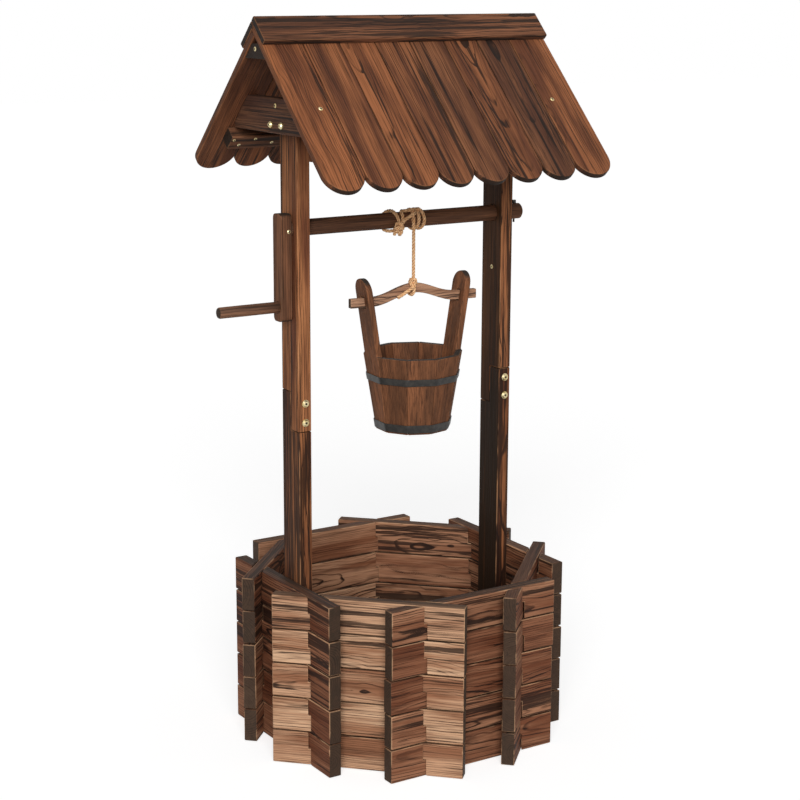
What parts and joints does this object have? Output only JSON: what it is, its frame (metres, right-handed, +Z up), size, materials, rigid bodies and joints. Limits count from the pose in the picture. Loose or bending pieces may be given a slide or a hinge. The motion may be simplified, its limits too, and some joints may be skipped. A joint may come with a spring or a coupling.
{
  "type": "wishing well planter",
  "caption": "Wooden wishing well planter: octagonal tub of cross-lapped boards, spliced posts, plank gable roof and a hand crank that winds a rope with a staved bucket.",
  "frame": {"origin": "on the ground, under the middle of the whole object's box; the crank reaches further on -X than anything does on +X, so the tub's own axis is at x = 0.0288", "axes": "+Z up, +X along the spindle from its crank towards its pinned end, -Y the front"},
  "size_m": [0.5794, 0.5218, 1.1396],
  "materials": {
    "base_wood": "scorched softwood, tan between dark grain lines, bare and matt",
    "post_wood": "scorched softwood, red-brown with black streaks, satin",
    "roof_wood": "scorched softwood, red-brown with black streaks, satin",
    "bucket_wood": "scorched softwood with fine upright grain, satin",
    "crank_wood": "dark scorched softwood, satin",
    "hoop_metal": "flat black steel strap",
    "bolt_metal": "yellow, satin, as brass or yellow zinc plate",
    "pin_metal": "dark steel",
    "rope": "natural twisted fibre"
  },
  "bodies": {
    "frame": {"wall_front": "base_wood", "wall_front_right": "base_wood", "wall_right": "base_wood", "wall_back_right": "base_wood", "wall_back": "base_wood", "wall_back_left": "base_wood", "wall_left": "base_wood", "wall_front_left": "base_wood", "floor_panel": "base_wood", "left_lower_post": "post_wood", "left_upper_post": "post_wood", "right_lower_post": "post_wood", "right_upper_post": "post_wood", "left_splice_bolt": "bolt_metal", "right_splice_bolt": "bolt_metal", "front_plank_1": "roof_wood", "front_plank_2": "roof_wood", "front_plank_3": "roof_wood", "front_plank_4": "roof_wood", "front_plank_5": "roof_wood", "front_plank_6": "roof_wood", "front_plank_7": "roof_wood", "front_plank_8": "roof_wood", "back_plank_1": "roof_wood", "back_plank_2": "roof_wood", "back_plank_3": "roof_wood", "back_plank_4": "roof_wood", "back_plank_5": "roof_wood", "back_plank_6": "roof_wood", "back_plank_7": "roof_wood", "back_plank_8": "roof_wood", "front_ridge_cap": "roof_wood", "back_ridge_cap": "roof_wood", "front_eave_batten": "roof_wood", "back_eave_batten": "roof_wood", "left_gable_board": "roof_wood", "right_gable_board": "roof_wood", "ridge_beam": "roof_wood"},
    "windlass": {"spindle": "crank_wood", "crank_arm": "crank_wood", "crank_handle": "crank_wood", "spindle_pin": "pin_metal", "rope_winding": "rope"},
    "hanging_rope": {"rope_drop": "rope"},
    "knot": {"rope_knot": "rope"},
    "bucket": {"bucket_right_ear": "bucket_wood", "bucket_left_ear": "bucket_wood", "bucket_stave_1": "bucket_wood", "bucket_stave_2": "bucket_wood", "bucket_stave_3": "bucket_wood", "bucket_stave_4": "bucket_wood", "bucket_stave_5": "bucket_wood", "bucket_stave_6": "bucket_wood", "bucket_stave_7": "bucket_wood", "bucket_stave_8": "bucket_wood", "bucket_floor": "bucket_wood", "bucket_upper_hoop": "hoop_metal", "bucket_lower_hoop": "hoop_metal", "bucket_yoke": "bucket_wood", "yoke_loop": "rope"}
  },
  "joints": [
    {"name": "spindle_turn", "type": "hinge", "parent": "frame", "child": "windlass", "pos_m": [0.02884, 0, 0.826], "axis": [-1, 0, 0], "range_deg": [-745, 205]},
    {"name": "bucket_lift", "type": "slide", "parent": "frame", "child": "hanging_rope", "axis": [0, 0, 1], "range_m": [-0.2, 0.0552], "deforming": ["rope_drop"]},
    {"name": "rope_twist", "type": "hinge", "parent": "hanging_rope", "child": "knot", "pos_m": [0.04484, -0.0153, 0.734], "axis": [0, 0, 1], "range_deg": [-180, 180]},
    {"name": "bucket_swing", "type": "hinge", "parent": "knot", "child": "bucket", "pos_m": [0.04484, -0.0153, 0.734], "axis": [0.9974, -0.0715, 0], "range_deg": [-25, 25]}
  ],
  "couplings": [
    {"joint": "bucket_lift", "follows": "spindle_turn", "m_per_rad": 0.0153}
  ]
}
